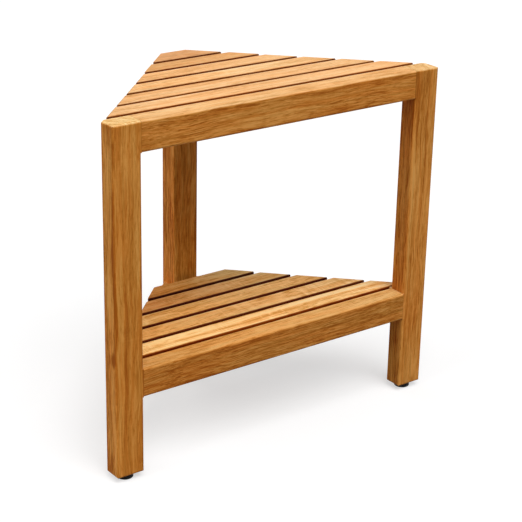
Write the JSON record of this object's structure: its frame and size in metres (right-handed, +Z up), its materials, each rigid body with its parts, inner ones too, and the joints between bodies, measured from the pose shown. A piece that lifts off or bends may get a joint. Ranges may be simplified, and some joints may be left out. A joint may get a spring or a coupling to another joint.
{
  "type": "corner stool",
  "caption": "Teak corner stool with a slatted triangular seat and a slatted lower shelf on three legs with levelling feet.",
  "frame": {"origin": "bottom centre of the bounding box, on the floor midway along the width and the depth", "axes": "+X to the right along the front, +Y from the front rail back into the corner, +Z up"},
  "size_m": [0.4934, 0.2512, 0.457],
  "materials": {
    "teak_leg": "oiled teak, long grain upright",
    "teak_rail": "oiled teak, long grain along the rail",
    "teak_side_rail": "oiled teak, long grain along the rail",
    "teak_seat_board": "fine sanded oiled teak, pale",
    "teak_shelf_board": "fine sanded oiled teak, pale",
    "dowel_wood": "plain hardwood dowel",
    "screw_steel": "stainless steel",
    "insert_brass": "turned brass",
    "stud_steel": "stainless steel thread",
    "pad_rubber": "matt black rubber"
  },
  "bodies": {
    "stool": {"front_left_leg": "teak_leg", "front_right_leg": "teak_leg", "rear_leg": "teak_leg", "seat_front_rail": "teak_rail", "shelf_front_rail": "teak_rail", "seat_left_rail": "teak_side_rail", "seat_right_rail": "teak_side_rail", "seat_batten": "teak_side_rail", "shelf_left_rail": "teak_side_rail", "shelf_right_rail": "teak_side_rail", "seat_board_1": "teak_seat_board", "seat_board_2": "teak_seat_board", "seat_board_3": "teak_seat_board", "seat_board_4": "teak_seat_board", "seat_board_5": "teak_seat_board", "seat_board_6": "teak_seat_board", "shelf_board_1": "teak_shelf_board", "shelf_board_2": "teak_shelf_board", "shelf_board_3": "teak_shelf_board", "shelf_board_4": "teak_shelf_board", "shelf_board_5": "teak_shelf_board", "seat_rail_dowels": "dowel_wood", "shelf_rail_dowels": "dowel_wood", "seat_side_dowels": "dowel_wood", "shelf_side_dowels": "dowel_wood", "batten_dowels": "dowel_wood", "corner_dowels": "dowel_wood", "seat_screws": "screw_steel", "shelf_screws": "screw_steel", "left_insert": "insert_brass", "right_insert": "insert_brass", "rear_insert": "insert_brass"},
    "left_pad": {"left_pad": "pad_rubber"},
    "left_stud": {"left_stud": "stud_steel"},
    "right_pad": {"right_pad": "pad_rubber"},
    "right_stud": {"right_stud": "stud_steel"},
    "rear_pad": {"rear_pad": "pad_rubber"},
    "rear_stud": {"rear_stud": "stud_steel"}
  },
  "joints": [
    {"name": "left_foot_height", "type": "slide", "parent": "stool", "child": "left_pad", "axis": [0, 0, -1], "range_m": [0, 0.01]},
    {"name": "left_stud_turn", "type": "hinge", "parent": "left_pad", "child": "left_stud", "pos_m": [-0.2275, -0.11062, 0], "axis": [0, 0, -1], "range_deg": [0, 2880]},
    {"name": "right_foot_height", "type": "slide", "parent": "stool", "child": "right_pad", "axis": [0, 0, -1], "range_m": [0, 0.01]},
    {"name": "right_stud_turn", "type": "hinge", "parent": "right_pad", "child": "right_stud", "pos_m": [0.2275, -0.11062, 0], "axis": [0, 0, -1], "range_deg": [0, 2880]},
    {"name": "rear_foot_height", "type": "slide", "parent": "stool", "child": "rear_pad", "axis": [0, 0, -1], "range_m": [0, 0.01]},
    {"name": "rear_stud_turn", "type": "hinge", "parent": "rear_pad", "child": "rear_stud", "pos_m": [0, 0.10762, 0], "axis": [0, 0, -1], "range_deg": [0, 2880]}
  ],
  "couplings": [
    {"joint": "left_foot_height", "follows": "left_stud_turn", "m_per_rad": 0.00019894},
    {"joint": "right_foot_height", "follows": "right_stud_turn", "m_per_rad": 0.00019894},
    {"joint": "rear_foot_height", "follows": "rear_stud_turn", "m_per_rad": 0.00019894}
  ]
}
